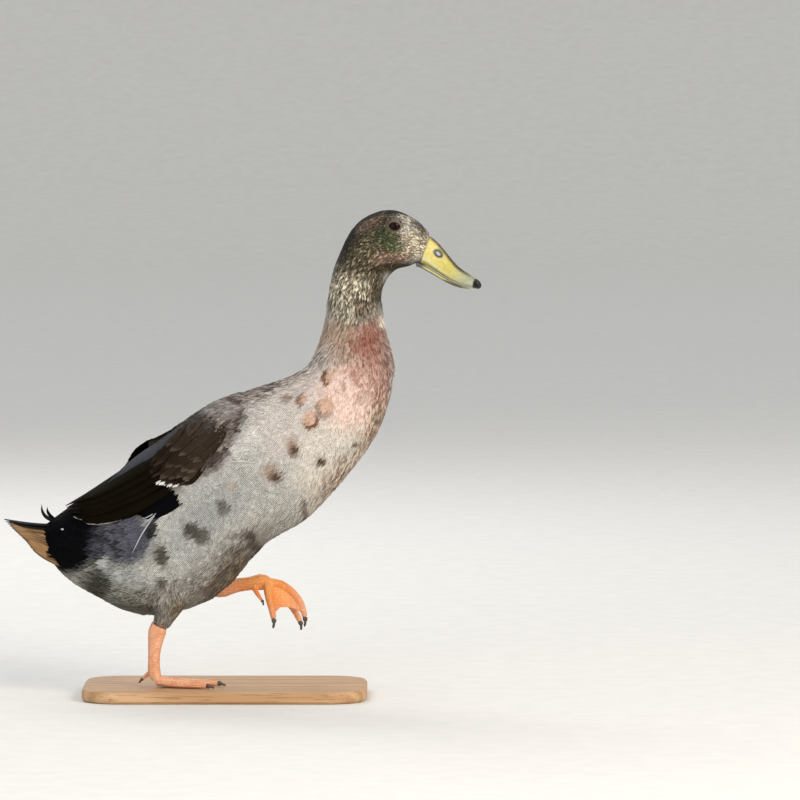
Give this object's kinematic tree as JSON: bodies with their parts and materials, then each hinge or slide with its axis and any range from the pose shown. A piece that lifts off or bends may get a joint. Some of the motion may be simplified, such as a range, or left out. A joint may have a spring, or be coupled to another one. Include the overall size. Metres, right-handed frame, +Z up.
{
  "type": "walking duck",
  "caption": "Life-size still model of an upright domestic drake in mid stride, standing on its right foot on a flat wooden base, with the left foot lifted forward.",
  "frame": {"origin": "centre of the underside of the wooden base", "axes": "+X the way the bird faces, +Y towards its left side, +Z up"},
  "size_m": [0.421, 0.15, 0.429],
  "materials": {
    "head_feathers": "soft feathers, matte",
    "neck_feathers": "soft feathers, matte",
    "breast_feathers": "soft feathers, matte",
    "pale_feathers": "soft feathers, matte",
    "wing_feathers": "soft feathers, matte",
    "flight_feathers": "soft feathers, matte",
    "black_feathers": "soft feathers, matte",
    "tail_feathers": "soft feathers, matte",
    "bill": "smooth horn skin, satin",
    "horn": "dark horn, satin",
    "leg_skin": "scaled skin, slightly moist",
    "eye": "wet and clear",
    "stand_wood": "oiled oak, satin"
  },
  "bodies": {
    "root": {"rump": "black_feathers", "trunk": "pale_feathers", "breast": "breast_feathers", "neck": "neck_feathers", "head": "head_feathers", "bill_upper": "bill", "bill_lower": "bill", "bill_nail": "horn", "tail": "tail_feathers", "tail_curl_right": "black_feathers", "tail_curl_left": "black_feathers", "eye_right": "eye", "wing_right": "wing_feathers", "wing_tip_right": "flight_feathers", "flank_right": "pale_feathers", "thigh_right": "pale_feathers", "shank_right": "leg_skin", "foot_right": "leg_skin", "hind_toe_right": "leg_skin", "claw_inner_right": "horn", "claw_middle_right": "horn", "claw_outer_right": "horn", "claw_hind_right": "horn", "eye_left": "eye", "wing_left": "wing_feathers", "wing_tip_left": "flight_feathers", "flank_left": "pale_feathers", "thigh_left": "pale_feathers", "shank_left": "leg_skin", "foot_left": "leg_skin", "hind_toe_left": "leg_skin", "claw_inner_left": "horn", "claw_middle_left": "horn", "claw_outer_left": "horn", "claw_hind_left": "horn", "stand_base": "stand_wood"}
  },
  "joints": []
}
